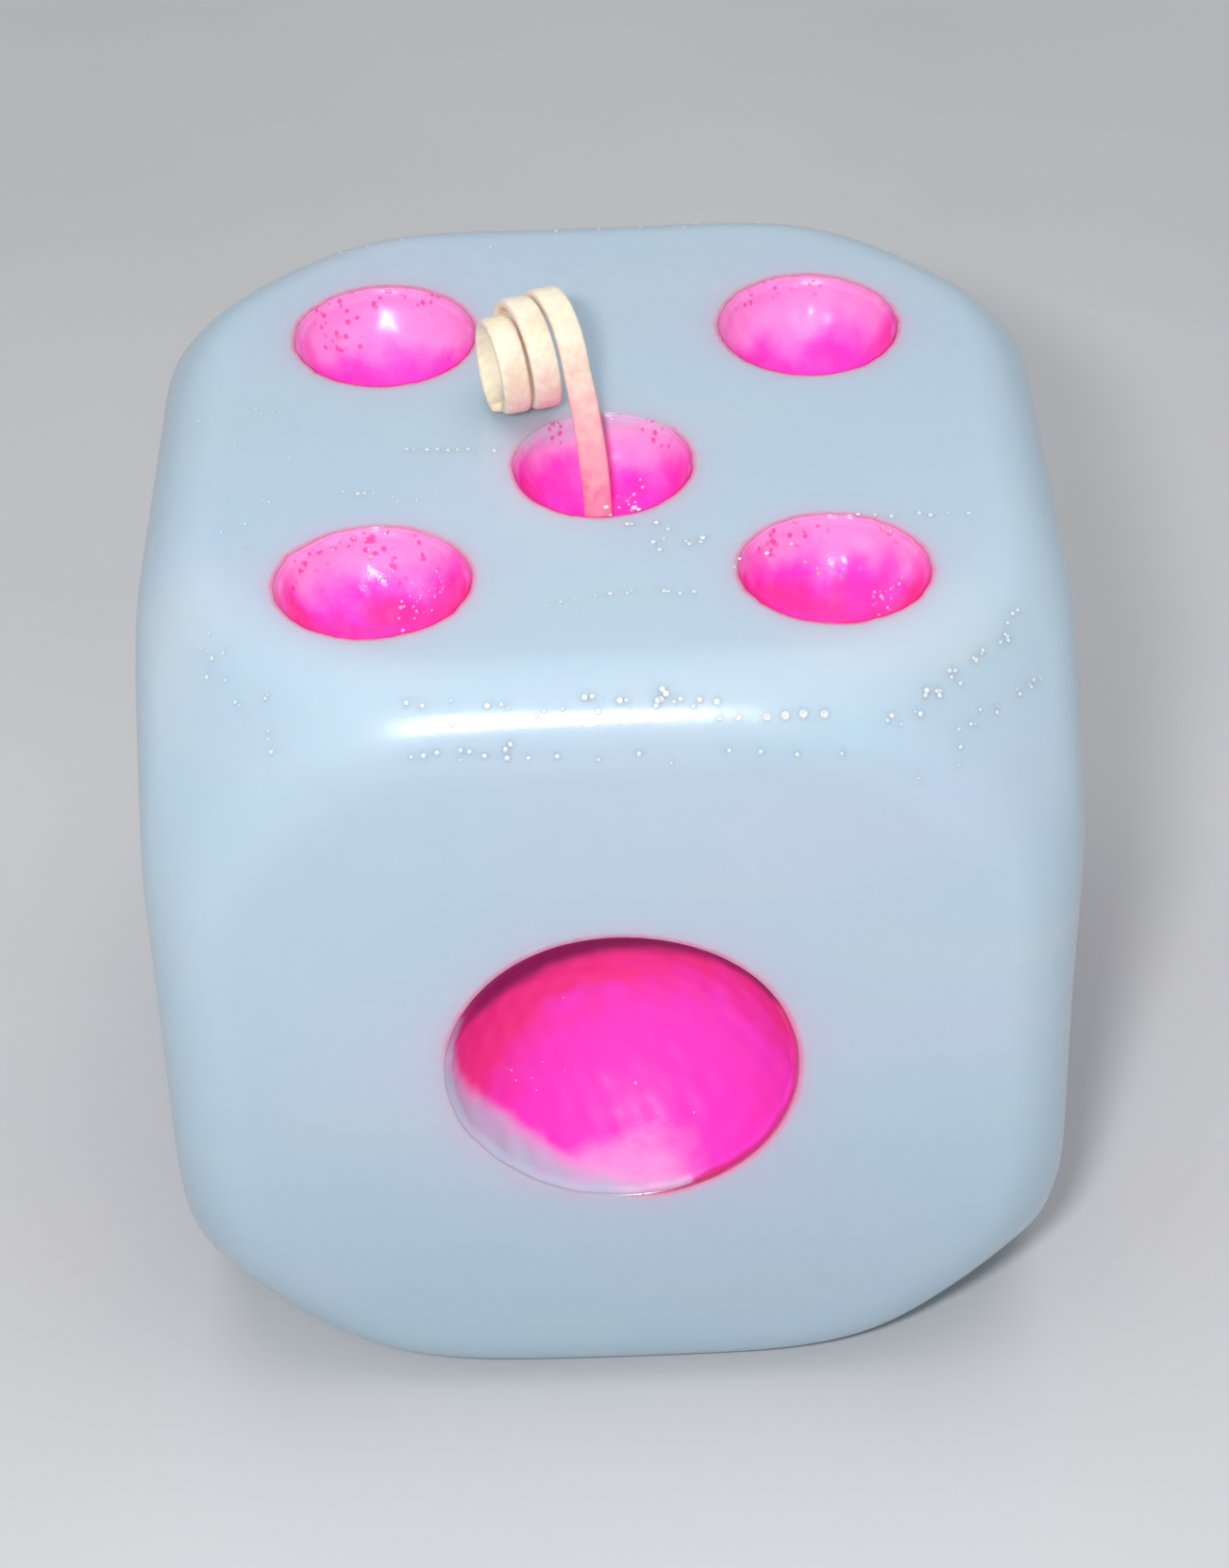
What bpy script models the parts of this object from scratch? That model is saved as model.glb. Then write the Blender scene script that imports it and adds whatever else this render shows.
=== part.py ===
"""A candle cast in the shape of a playing die, with coated pips and a coiled wick.

Metres, +Z up. The origin is the middle of the base and the front face looks along -Y.
The wax block is a cube whose corners are trimmed by a ball and whose edges are rounded. Each pip
is a spherical recess in the wax with a thin coating shell in it. The wick runs up a channel, leaves
the floor of the top face's middle pip and is wound into a coil with a level axis.
Run with: blender --background --python part.py
"""

import math

import bmesh
import bpy
import numpy as np
from mathutils import Euler, Vector

# Wax block.
CUBE_SIDE = 0.0750              # across two opposite faces
CORNER_CUT = 0.0114             # from a sharp cube's corner in to the trimming ball
EDGE_FILLET = 0.0066            # radius that rounds every edge

# Pips: radius and depth of the coated hollow, measured at the face.
PIP_RADIUS = 0.0075
PIP_DEPTH = 0.0068
BIG_PIP_RADIUS = 0.0144         # the single pip of the one-face
BIG_PIP_DEPTH = 0.0105
PIP_OFFSET = 0.0181             # from the face's middle to an outer pip, along each edge
LEAST_WALL = 0.0010             # wax left between neighbouring hollows; it may widen the offset
TOP_GROUP_SHIFT = 0.0027        # the top face's outer pips sit this far towards the front
TOP_MIDDLE_SHIFT = 0.0052       # and its middle pip this far

# Coating in the pips.
LINING_THICKNESS = 0.0006
LINING_SETBACK = 0.0002         # the coating's rim stays this far under the wax surface

# Wick: a flat braid, stood for by a round rod of the braid's width.
WICK_WIDTH = 0.0023
WICK_EXIT_X = -0.0003           # where it leaves the middle pip's floor, across the die
WICK_TRIM = 0.0004              # its cut end stays this far above the base
WICK_ROUTE = (                  # free stretch, from the point where it leaves the floor
    (0.0, 0.0, 0.0003),
    (-0.00003, 0.00092, 0.00334),
    (-0.00033, 0.00237, 0.00642),
    (-0.00081, 0.00384, 0.00951),
)
COIL_START = (-0.00266, 0.00923, 0.01255)   # middle of the first turn, from the same point
COIL_YAW = math.radians(16)     # the coil's axis, from -X towards the front
COIL_RADIUS = 0.0050            # outside
COIL_PITCH = 0.0025
COIL_TURNS = 2.0                # turns that advance along the axis
COIL_WALL = 0.0012

GAP = 0.0003                    # between pieces that touch on the real candle

# Facets.
GRID_CUTS = 15                  # cuts along each edge of the cube that the block is shaped from
GRID_CROWDING = 1.6             # draws the cuts together near the edges
PIP_SEGMENTS = 14
PIP_RINGS = 3
BIG_PIP_SEGMENTS = 24
BIG_PIP_RINGS = 5
ROD_SEGMENTS = 12
COIL_SEGMENTS = 24
ROUTE_STEPS = 3                 # tube points for each stretch between two route points
OVERCUT = 0.0020                # how far a cutter passes the surface that it opens
FLATNESS = 1e-8                 # a facet's corners this close to a side's plane are on it
SMOOTH_ANGLE = math.radians(35)
BISECTION_STEPS = 46

HALF_SIDE = CUBE_SIDE / 2
CORNER_BALL = math.sqrt(3) * HALF_SIDE - CORNER_CUT
RECESS_GROWTH = LINING_THICKNESS + GAP
PIP_STEP = max(PIP_OFFSET, 2 * (PIP_RADIUS + RECESS_GROWTH) + LEAST_WALL)
WICK_EXIT = Vector((WICK_EXIT_X, -TOP_MIDDLE_SHIFT, CUBE_SIDE - PIP_DEPTH))

MIDDLE = ((0, 0),)
DIAGONAL = ((-1, 1), (1, -1))
CORNERS = DIAGONAL + ((-1, -1), (1, 1))
SIDES = ((-1, 0), (1, 0))
PATTERNS = {
    1: MIDDLE,
    2: DIAGONAL,
    3: DIAGONAL + MIDDLE,
    4: CORNERS,
    5: CORNERS + MIDDLE,
    6: CORNERS + SIDES,
}
RIGHT_ANGLE = math.pi / 2
FACES = (                       # name, number of pips, rotation that turns +Z to the face's normal
    ("top", 5, (0, 0, 0)),
    ("bottom", 2, (math.pi, 0, 0)),
    ("front", 1, (RIGHT_ANGLE, 0, 0)),
    ("back", 6, (RIGHT_ANGLE, 0, math.pi)),
    ("left", 3, (RIGHT_ANGLE, 0, -RIGHT_ANGLE)),
    ("right", 4, (RIGHT_ANGLE, 0, RIGHT_ANGLE)),
)


def clear_scene():
    for item in list(bpy.data.objects):
        bpy.data.objects.remove(item, do_unlink=True)


def make_material(name, colour, roughness, metallic=0.0):
    material = bpy.data.materials.new(name)
    material.use_nodes = True
    shader = material.node_tree.nodes["Principled BSDF"]
    shader.inputs["Base Color"].default_value = (*colour, 1.0)
    shader.inputs["Roughness"].default_value = roughness
    shader.inputs["Metallic"].default_value = metallic
    material.diffuse_color = (*colour, 1.0)
    return material


def link_object(name, data, material=None, parent=None):
    item = bpy.data.objects.new(name, data)
    bpy.context.scene.collection.objects.link(item)
    if material is not None:
        data.materials.clear()
        data.materials.append(material)
    item.parent = parent
    return item


def mesh_from_bmesh(name, shape):
    bmesh.ops.recalc_face_normals(shape, faces=shape.faces)
    mesh = bpy.data.meshes.new(name)
    shape.to_mesh(mesh)
    shape.free()
    mesh.shade_smooth()
    mesh.set_sharp_from_angle(angle=SMOOTH_ANGLE)
    return mesh


def as_cutter(item):
    item.hide_render = True
    item.display_type = "WIRE"
    return item


def add_boolean(item, operation, other):
    modifier = item.modifiers.new(f"{operation.lower()} {other.name}", "BOOLEAN")
    modifier.operation = operation
    modifier.solver = "EXACT"
    modifier.object = other


# The block's surface: every point at the fillet's radius from a core, which is a smaller cube with
# its corners trimmed by a smaller ball.

def nearest_on_core(points, half_core, ball_core):
    """The nearest point of the core to each point outside it."""
    low = np.zeros(len(points))
    high = np.ones(len(points))
    for _ in range(BISECTION_STEPS):
        share = (low + high) / 2
        clipped = np.clip(points * share[:, None], -half_core, half_core)
        outside = np.linalg.norm(clipped, axis=1) > ball_core
        high = np.where(outside, share, high)
        low = np.where(outside, low, share)
    return np.clip(points * high[:, None], -half_core, half_core)


def die_surface(directions, setback):
    """Where each ray from the block's middle leaves the block, less an even setback."""
    half_core = HALF_SIDE - EDGE_FILLET
    ball_core = CORNER_BALL - EDGE_FILLET
    fillet = EDGE_FILLET - setback
    low = np.full(len(directions), 0.0)
    high = np.full(len(directions), 2 * CUBE_SIDE)
    for _ in range(BISECTION_STEPS):
        reach = (low + high) / 2
        points = directions * reach[:, None]
        nearest = nearest_on_core(points, half_core, ball_core)
        outside = np.linalg.norm(points - nearest, axis=1) > fillet
        high = np.where(outside, reach, high)
        low = np.where(outside, low, reach)
    return directions * ((low + high) / 2)[:, None]


def join_flat_facets(shape, half_side):
    """Make each side's flat middle one face."""
    for axis in range(3):
        for plane in (-half_side, half_side):
            flat = [face for face in shape.faces
                    if all(abs(vertex.co[axis] - plane) < FLATNESS for vertex in face.verts)]
            bmesh.ops.dissolve_faces(shape, faces=flat, use_verts=True)


def die_block_mesh(name, setback=0.0):
    shape = bmesh.new()
    bmesh.ops.create_cube(shape, size=2.0)
    bmesh.ops.subdivide_edges(shape, edges=shape.edges[:], cuts=GRID_CUTS, use_grid_fill=True)
    grid = np.array([vertex.co for vertex in shape.verts], dtype=float)
    grid = np.sign(grid) * (1 - (1 - np.minimum(np.abs(grid), 1)) ** GRID_CROWDING)
    directions = grid / np.linalg.norm(grid, axis=1)[:, None]
    for vertex, place in zip(shape.verts, die_surface(directions, setback)):
        vertex.co = place
    join_flat_facets(shape, HALF_SIDE - setback)
    return mesh_from_bmesh(name, shape)


# Turned shapes.

def add_turned(shape, profile, segments, place=None):
    """Turn (radius, height) points about Z; a point on the axis becomes a pole."""
    rings = []
    for radius, height in profile:
        if radius == 0:
            rings.append([shape.verts.new((0, 0, height))])
            continue
        turns = [2 * math.pi * step / segments for step in range(segments)]
        rings.append([
            shape.verts.new((radius * math.cos(turn), radius * math.sin(turn), height))
            for turn in turns])
    pairs = list(zip(rings, rings[1:]))
    if len(rings[0]) > 1:
        pairs.append((rings[-1], rings[0]))
    for lower, upper in pairs:
        for step in range(segments):
            after = (step + 1) % segments
            corners = [lower[step % len(lower)], lower[after % len(lower)],
                       upper[after % len(upper)], upper[step % len(upper)]]
            unique = list(dict.fromkeys(corners))
            if len(unique) > 2:
                shape.faces.new(unique)
    if place is not None:
        moved = [vertex for ring in rings for vertex in ring]
        bmesh.ops.transform(shape, matrix=place, verts=moved)


def turned_mesh(name, profile, segments):
    shape = bmesh.new()
    add_turned(shape, profile, segments)
    return mesh_from_bmesh(name, shape)


class Pip:
    """Sizes of one kind of pip; heights are from the face, so the hollow's floor is negative."""

    def __init__(self, radius, depth, segments, rings):
        self.ball = (radius ** 2 + depth ** 2) / (2 * depth)
        self.middle = self.ball - depth
        self.segments = segments
        self.rings = rings

    def arc(self, growth):
        """From the pole of the grown ball up to where it passes the face."""
        ball = self.ball + growth
        end = math.acos(min(1.0, self.middle / ball))
        points = [(0.0, self.middle - ball)]
        for step in range(1, self.rings + 1):
            turn = end * step / self.rings
            points.append((ball * math.sin(turn), self.middle - ball * math.cos(turn)))
        return points

    def recess_profile(self):
        """A closed cutter: the grown hollow, carried straight up past the face."""
        arc = self.arc(RECESS_GROWTH)
        return arc + [(arc[-1][0], OVERCUT), (0.0, OVERCUT)]

    def lining_profile(self):
        """The coating shell, carried past the face so that it can be trimmed to the wax."""
        outside = self.arc(LINING_THICKNESS)
        inside = self.arc(0.0)
        rim = [(outside[-1][0], OVERCUT), (inside[-1][0], OVERCUT)]
        return outside + rim + inside[::-1]


SMALL_PIP = Pip(PIP_RADIUS, PIP_DEPTH, PIP_SEGMENTS, PIP_RINGS)
BIG_PIP = Pip(BIG_PIP_RADIUS, BIG_PIP_DEPTH, BIG_PIP_SEGMENTS, BIG_PIP_RINGS)


def pip_kind(count):
    return BIG_PIP if count == 1 else SMALL_PIP


def pip_places(face, count):
    """The pips' middles on a face, in the face's own frame."""
    for across, along in PATTERNS[count]:
        shift = 0.0
        if face == "top":
            shift = TOP_MIDDLE_SHIFT if (across, along) == (0, 0) else TOP_GROUP_SHIFT
        yield Vector((across * PIP_STEP, along * PIP_STEP - shift, 0.0))


def face_matrix(rotation):
    """From a face's frame to the block's own frame, whose origin is the block's middle."""
    turn = Euler(rotation).to_matrix().to_4x4()
    turn.translation = turn.to_3x3() @ Vector((0, 0, HALF_SIDE))
    return turn


# Pieces.

def make_recess_cutter(parent):
    shape = bmesh.new()
    for face, count, rotation in FACES:
        pip = pip_kind(count)
        for spot in pip_places(face, count):
            place = face_matrix(rotation)
            place.translation = place @ spot
            add_turned(shape, pip.recess_profile(), pip.segments, place)
    mesh = mesh_from_bmesh("recess_cutter", shape)
    return as_cutter(link_object("recess_cutter", mesh, parent=parent))


def rod_profile(radius, bottom, top):
    return [(0.0, bottom), (radius, bottom), (radius, top), (0.0, top)]


def make_channel_cutter():
    """Opens the wax and the middle pip's coating for the wick."""
    radius = WICK_WIDTH / 2 + GAP
    mesh = turned_mesh(
        "channel_cutter", rod_profile(radius, -OVERCUT, WICK_EXIT.z + OVERCUT), ROD_SEGMENTS)
    cutter = as_cutter(link_object("channel_cutter", mesh))
    cutter.location = (WICK_EXIT.x, WICK_EXIT.y, 0)
    return cutter


def make_wax_body(material, parent, recesses, channel):
    body = link_object("wax_body", die_block_mesh("wax_body"), material, parent)
    add_boolean(body, "DIFFERENCE", recesses)
    add_boolean(body, "DIFFERENCE", channel)


def make_linings(material, parent, channel):
    envelope = as_cutter(link_object(
        "lining_envelope", die_block_mesh("lining_envelope", LINING_SETBACK), parent=parent))
    meshes = {
        pip: turned_mesh("pip_lining", pip.lining_profile(), pip.segments)
        for pip in (SMALL_PIP, BIG_PIP)}
    for face, count, rotation in FACES:
        frame = bpy.data.objects.new(f"{face}_face", None)
        bpy.context.scene.collection.objects.link(frame)
        frame.parent = parent
        frame.matrix_local = face_matrix(rotation)
        for number, spot in enumerate(pip_places(face, count), start=1):
            lining = link_object(
                f"pip_lining_{face}_{number}", meshes[pip_kind(count)], material, frame)
            lining.location = spot
            add_boolean(lining, "INTERSECT", envelope)
            if face == "top" and spot.x == 0:
                add_boolean(lining, "DIFFERENCE", channel)


def make_wick_core(material):
    mesh = turned_mesh(
        "wick_core", rod_profile(WICK_WIDTH / 2, WICK_TRIM, WICK_EXIT.z), ROD_SEGMENTS)
    core = link_object("wick_core", mesh, material)
    core.location = (WICK_EXIT.x, WICK_EXIT.y, 0)


def smooth_route(points, steps):
    """Points on a Catmull-Rom curve through the given ones."""
    ends = [2 * points[0] - points[1], *points, 2 * points[-1] - points[-2]]
    route = []
    for before, start, end, after in zip(ends, ends[1:], ends[2:], ends[3:]):
        for step in range(steps):
            t = step / steps
            route.append(0.5 * (
                2 * start
                + (end - before) * t
                + (2 * before - 5 * start + 4 * end - after) * t ** 2
                + (3 * start - before - 3 * end + after) * t ** 3))
    route.append(points[-1])
    return route


def make_wick_stem(material):
    curve = bpy.data.curves.new("wick_stem", "CURVE")
    curve.dimensions = "3D"
    curve.bevel_depth = WICK_WIDTH / 2
    curve.bevel_resolution = 2
    curve.use_fill_caps = True
    route = smooth_route([WICK_EXIT + Vector(point) for point in WICK_ROUTE], ROUTE_STEPS)
    spline = curve.splines.new("POLY")
    spline.points.add(len(route) - 1)
    for point, place in zip(spline.points, route):
        point.co = (*place, 1.0)
    link_object("wick_stem", curve, material)


def make_wick_coil(material):
    """The coil's outer shape: a ring around a level axis, turned about Z and then laid over."""
    inside = COIL_RADIUS - COIL_WALL
    length = COIL_TURNS * COIL_PITCH + WICK_WIDTH
    start = -WICK_WIDTH / 2
    profile = [
        (COIL_RADIUS, start),
        (COIL_RADIUS, start + length),
        (inside, start + length),
        (inside, start),
    ]
    coil = link_object("wick_coil", turned_mesh("wick_coil", profile, COIL_SEGMENTS), material)
    coil.location = WICK_EXIT + Vector(COIL_START)
    axis = Vector((-math.cos(COIL_YAW), -math.sin(COIL_YAW), 0))
    coil.rotation_mode = "QUATERNION"
    coil.rotation_quaternion = axis.to_track_quat("Z", "Y")


def main():
    clear_scene()
    wax = make_material("pale_blue_wax", (0.53, 0.67, 0.78), 0.25)
    coating = make_material("pink_coating", (0.98, 0.06, 0.45), 0.35)
    braid = make_material("waxed_cotton_braid", (0.93, 0.84, 0.70), 0.70)
    middle = bpy.data.objects.new("die_middle", None)
    bpy.context.scene.collection.objects.link(middle)
    middle.location = (0, 0, HALF_SIDE)
    channel = make_channel_cutter()
    make_wax_body(wax, middle, make_recess_cutter(middle), channel)
    make_linings(coating, middle, channel)
    make_wick_core(braid)
    make_wick_stem(braid)
    make_wick_coil(braid)
    bpy.context.view_layer.update()


main()
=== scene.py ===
import math
from collections import namedtuple

import bmesh
import bpy
import numpy as np
from mathutils import Matrix, Vector
from mathutils.geometry import delaunay_2d_cdt


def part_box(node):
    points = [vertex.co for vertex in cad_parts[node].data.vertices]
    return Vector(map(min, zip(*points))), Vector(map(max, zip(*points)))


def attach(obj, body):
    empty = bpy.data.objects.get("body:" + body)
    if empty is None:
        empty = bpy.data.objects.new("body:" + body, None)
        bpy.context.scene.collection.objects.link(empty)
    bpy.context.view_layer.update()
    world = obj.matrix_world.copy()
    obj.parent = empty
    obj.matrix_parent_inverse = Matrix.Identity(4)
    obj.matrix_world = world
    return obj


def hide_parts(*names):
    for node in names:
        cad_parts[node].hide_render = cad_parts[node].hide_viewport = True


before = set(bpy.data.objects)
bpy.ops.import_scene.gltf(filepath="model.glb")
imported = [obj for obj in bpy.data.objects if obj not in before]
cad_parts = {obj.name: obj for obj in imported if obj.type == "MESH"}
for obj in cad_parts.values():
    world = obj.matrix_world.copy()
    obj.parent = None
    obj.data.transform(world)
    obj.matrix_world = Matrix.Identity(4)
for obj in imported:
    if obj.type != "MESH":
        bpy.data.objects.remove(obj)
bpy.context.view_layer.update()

TAU = 2 * math.pi

# ---- sizes, in metres

WAX_LOW, WAX_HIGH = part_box("wax_body")
SIDE = WAX_HIGH.z - WAX_LOW.z
HALF = SIDE / 2
CENTRE = np.array((0, 0, WAX_LOW.z + HALF))     # the block's middle
CORNER_CUT = 0.0114             # from a sharp cube's corner in to the trimming ball
EDGE_FILLET = 0.0066
CORNER_BALL = math.sqrt(3) * HALF - CORNER_CUT

PIP_RADIUS = 0.0075             # the coated hollow, at the face
PIP_DEPTH = 0.0068
BIG_PIP_RADIUS = 0.0144
BIG_PIP_DEPTH = 0.0105
PIP_OFFSET = 0.0181
TOP_GROUP_SHIFT = 0.0027
TOP_MIDDLE_SHIFT = 0.0052
WICK_WIDTH = 0.0023
WICK_THICKNESS = 0.0009
WICK_EXIT = Vector((-0.0003, -TOP_MIDDLE_SHIFT, SIDE - PIP_DEPTH))

# Each face: its number of pips, and its across, along and outward directions.
FACES = {
    "top": (5, (1, 0, 0), (0, 1, 0), (0, 0, 1)),
    "bottom": (2, (1, 0, 0), (0, -1, 0), (0, 0, -1)),
    "front": (1, (1, 0, 0), (0, 0, 1), (0, -1, 0)),
    "back": (6, (-1, 0, 0), (0, 0, 1), (0, 1, 0)),
    "left": (3, (0, -1, 0), (0, 0, 1), (-1, 0, 0)),
    "right": (4, (0, 1, 0), (0, 0, 1), (1, 0, 0)),
}
DIAGONAL = ((-1, 1), (1, -1))
CORNERS = DIAGONAL + ((-1, -1), (1, 1))
PATTERNS = {
    1: ((0, 0),),
    2: DIAGONAL,
    3: DIAGONAL + ((0, 0),),
    4: CORNERS,
    5: CORNERS + ((0, 0),),
    6: CORNERS + ((-1, 0), (1, 0)),
}


# ---- camera

CAMERA_PLACE = Vector((-0.00067, -0.25904, 0.24462))
CAMERA_AIM = Vector((0.00046, 0.0, 0.03728))
CAMERA_ROLL = math.radians(-1.585)
CAMERA_SENSOR = 36.0            # mm, as the lens
CAMERA_LENS = 109.24
CAMERA_CLIP = (0.01, 20.0)


def new_object(name, data):
    made = bpy.data.objects.new(name, data)
    bpy.context.scene.collection.objects.link(made)
    return made


def looking(place, aim):
    """The matrix of a camera or light at that place, turned towards aim."""
    turn = (Vector(aim) - Vector(place)).to_track_quat("-Z", "Y").to_matrix().to_4x4()
    return Matrix.Translation(Vector(place)) @ turn


def add_camera():
    data = bpy.data.cameras.new("camera")
    data.sensor_fit = "HORIZONTAL"
    data.sensor_width = CAMERA_SENSOR
    data.lens = CAMERA_LENS
    data.clip_start, data.clip_end = CAMERA_CLIP
    camera = new_object("camera", data)
    camera.matrix_world = (
        looking(CAMERA_PLACE, CAMERA_AIM) @ Matrix.Rotation(CAMERA_ROLL, 4, "Z"))
    bpy.context.scene.camera = camera


add_camera()


# ---- small tools

def smoothstep(low, high, value):
    t = np.clip((value - low) / (high - low), 0, 1)
    return t * t * (3 - 2 * t)


def full_turn(count):
    """That many directions, evenly round a circle."""
    return np.linspace(0, TAU, count, endpoint=False)


def ripple(angle, seed, waves, size):
    """A periodic wobble: the given whole waves a turn, with random phases and sizes."""
    draw = np.random.default_rng(seed)
    total = np.zeros_like(angle)
    for wave in waves:
        total += draw.uniform(0.5, 1.0) * np.sin(wave * angle + draw.uniform(0, TAU))
    return size * total / math.sqrt(len(waves))


def lumps(points, seed, length, terms=14):
    """Smooth noise of about that wavelength at each point, mostly from -1 to 1."""
    draw = np.random.default_rng(seed)
    total = np.zeros(len(points))
    for _ in range(terms):
        way = draw.normal(size=3)
        way *= TAU / (length * draw.uniform(0.7, 1.5) * np.linalg.norm(way))
        total += np.sin(points @ way + draw.uniform(0, TAU))
    return total / math.sqrt(terms / 2)


def cast_warp(points):
    """The slight unevenness of a hand-cast block, the same for every piece on it."""
    shift = [0.00007 * lumps(points, 40 + axis, 0.034, 8) for axis in range(3)]
    return points + np.stack(shift, axis=1)


def strip(lower, upper, around):
    """Faces between two numbered rings of points."""
    return [(lower * around + step, lower * around + (step + 1) % around,
             upper * around + (step + 1) % around, upper * around + step)
            for step in range(around)]


def closed_tube(rings, around):
    """Faces of a tube of that many rings, with one face over each end."""
    faces = [corners for ring in range(rings - 1) for corners in strip(ring, ring + 1, around)]
    last = (rings - 1) * around
    return faces + [tuple(range(around)), tuple(range(last, last + around))]


def make_piece(name, points, faces, material, replaced=(), floats=()):
    mesh = bpy.data.meshes.new(name)
    mesh.from_pydata(points, [], faces)
    shape = bmesh.new()
    shape.from_mesh(mesh)
    bmesh.ops.recalc_face_normals(shape, faces=shape.faces)
    shape.to_mesh(mesh)
    shape.free()
    mesh.shade_smooth()
    for label, values in dict(floats).items():
        mesh.attributes.new(label, "FLOAT", "POINT").data.foreach_set(
            "value", np.asarray(values, dtype=np.float32))
    mesh.materials.append(material)
    piece = new_object(name, mesh)
    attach(piece, "root")
    if replaced:
        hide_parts(*replaced)
    return piece


# ---- materials

class Nodes:
    """Short names for building one material's node tree."""

    def __init__(self, name):
        self.material = bpy.data.materials.new(name)
        self.material.use_nodes = True
        self.tree = self.material.node_tree
        self.shader = self.tree.nodes["Principled BSDF"]
        self.place = self.tree.nodes.new("ShaderNodeTexCoord").outputs["Object"]

    def put(self, socket, value):
        if isinstance(value, bpy.types.NodeSocket):
            self.tree.links.new(value, socket)
        elif isinstance(value, tuple) and len(value) == 3 and socket.type == "RGBA":
            socket.default_value = (*value, 1.0)
        else:
            socket.default_value = value

    def set(self, **values):
        for name, value in values.items():
            self.put(self.shader.inputs[name.replace("_", " ")], value)

    def noise(self, scale, detail=2.0, roughness=0.5, stretch=None, distortion=0.0):
        node = self.tree.nodes.new("ShaderNodeTexNoise")
        node.inputs["Scale"].default_value = scale
        node.inputs["Detail"].default_value = detail
        node.inputs["Roughness"].default_value = roughness
        node.inputs["Distortion"].default_value = distortion
        place = self.place
        if stretch is not None:
            mapping = self.tree.nodes.new("ShaderNodeMapping")
            mapping.inputs["Scale"].default_value = stretch
            self.tree.links.new(place, mapping.inputs["Vector"])
            place = mapping.outputs["Vector"]
        self.tree.links.new(place, node.inputs["Vector"])
        return node.outputs["Fac"]

    def cells(self, scale, randomness=1.0):
        node = self.tree.nodes.new("ShaderNodeTexVoronoi")
        node.inputs["Scale"].default_value = scale
        node.inputs["Randomness"].default_value = randomness
        self.tree.links.new(self.place, node.inputs["Vector"])
        return node.outputs["Distance"]

    def band(self, value, low, high, start=0.0, end=1.0):
        """value from low to high becomes start to end, held outside."""
        node = self.tree.nodes.new("ShaderNodeMapRange")
        node.interpolation_type = "SMOOTHSTEP"
        self.put(node.inputs["Value"], value)
        self.put(node.inputs["From Min"], low)
        self.put(node.inputs["From Max"], high)
        self.put(node.inputs["To Min"], start)
        self.put(node.inputs["To Max"], end)
        return node.outputs["Result"]

    def math(self, operation, first, second=0.0):
        node = self.tree.nodes.new("ShaderNodeMath")
        node.operation = operation
        self.put(node.inputs[0], first)
        self.put(node.inputs[1], second)
        return node.outputs[0]

    def mix(self, share, first, second):
        node = self.tree.nodes.new("ShaderNodeMix")
        node.data_type = "RGBA"
        self.put(node.inputs["Factor"], share)
        self.put(node.inputs[6], first)
        self.put(node.inputs[7], second)
        return node.outputs[2]

    def attribute(self, name):
        node = self.tree.nodes.new("ShaderNodeAttribute")
        node.attribute_name = name
        return node.outputs["Fac"]

    def bump(self, height, depth, under=None):
        """depth is in metres, for a height of 1."""
        node = self.tree.nodes.new("ShaderNodeBump")
        node.inputs["Strength"].default_value = 1.0
        node.inputs["Distance"].default_value = depth
        self.tree.links.new(height, node.inputs["Height"])
        if under is not None:
            self.tree.links.new(under, node.inputs["Normal"])
        return node.outputs["Normal"]


WAX_BLUE = (0.520, 0.650, 0.745)
WAX_COOL = (0.495, 0.645, 0.755)
WAX_LAVENDER = (0.565, 0.635, 0.770)
WAX_CREAMY = (0.570, 0.665, 0.715)
WAX_PAINTED_SHADE = (0.34, 0.49, 0.58)
GLOW_LAVENDER = (0.68, 0.50, 0.72)
NEAR_RIM_SHADE = (0.55, 0.01, 0.11)
RIM_GLOW_PINK = (0.98, 0.28, 0.52)


def wax_colour(n):
    base = n.mix(n.band(n.noise(38, 1.0), 0.25, 0.75), WAX_BLUE, WAX_COOL)
    cloudy = n.noise(31, 1.0, stretch=(1.0, 1.0, 1.7))
    base = n.mix(n.band(cloudy, 0.45, 0.80, 0, 0.85), base, WAX_LAVENDER)
    layered = n.noise(60, 2.0, 0.4, stretch=(0.4, 1.0, 2.2))
    base = n.mix(n.band(layered, 0.52, 0.80, 0, 0.8), base, WAX_CREAMY)
    # painted shade: the wax is drawn darker towards the bottom, following the low attribute
    return n.mix(n.math("MULTIPLY", n.attribute("low"), 0.50), base, WAX_PAINTED_SHADE)


def wax_material():
    n = Nodes("cast_wax")
    # painted glow: pink light scattered through the wax round each hollow, with some dye seeped into
    # it
    glow_and_dye_halo = n.math("MULTIPLY", n.attribute("glow_and_dye_halo"), n.band(n.noise(300, 2.0), 0.2, 0.8, 0.75, 1.1))
    colour = n.mix(glow_and_dye_halo, wax_colour(n), GLOW_LAVENDER)
    # painted highlight and glow: a thin light pink line at each rim, and pink wax under the film
    rim = n.math("MULTIPLY", n.attribute("rim"), n.band(n.noise(1400, 3.0), 0.2, 0.7, 0.65, 1.1))
    colour = n.mix(rim, colour, RIM_GLOW_PINK)
    # painted shade: a dark crimson line just inside each hollow's near rim, partly dye pooled at the
    # film's edge
    colour = n.mix(n.math("MULTIPLY", n.attribute("deep"), 0.85), colour, NEAR_RIM_SHADE)
    grain = n.band(n.noise(5200, 2.0), 0.66, 0.8)
    bump = n.bump(n.noise(330, 2.0), 0.00002)
    bump = n.bump(n.noise(2600, 3.0, 0.6), 0.000006, bump)
    bump = n.bump(grain, 0.000014, bump)
    n.set(
        Base_Color=colour,
        Roughness=n.band(n.noise(160, 3.0), 0.3, 0.7, 0.22, 0.27),
        IOR=1.46,
        Specular_IOR_Level=1.0,
        Subsurface_Weight=1.0,
        Subsurface_Radius=(1.0, 1.0, 1.0),
        Subsurface_Scale=0.0026,
        Subsurface_Anisotropy=0.2,
        Normal=bump,
    )
    return n.material


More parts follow.
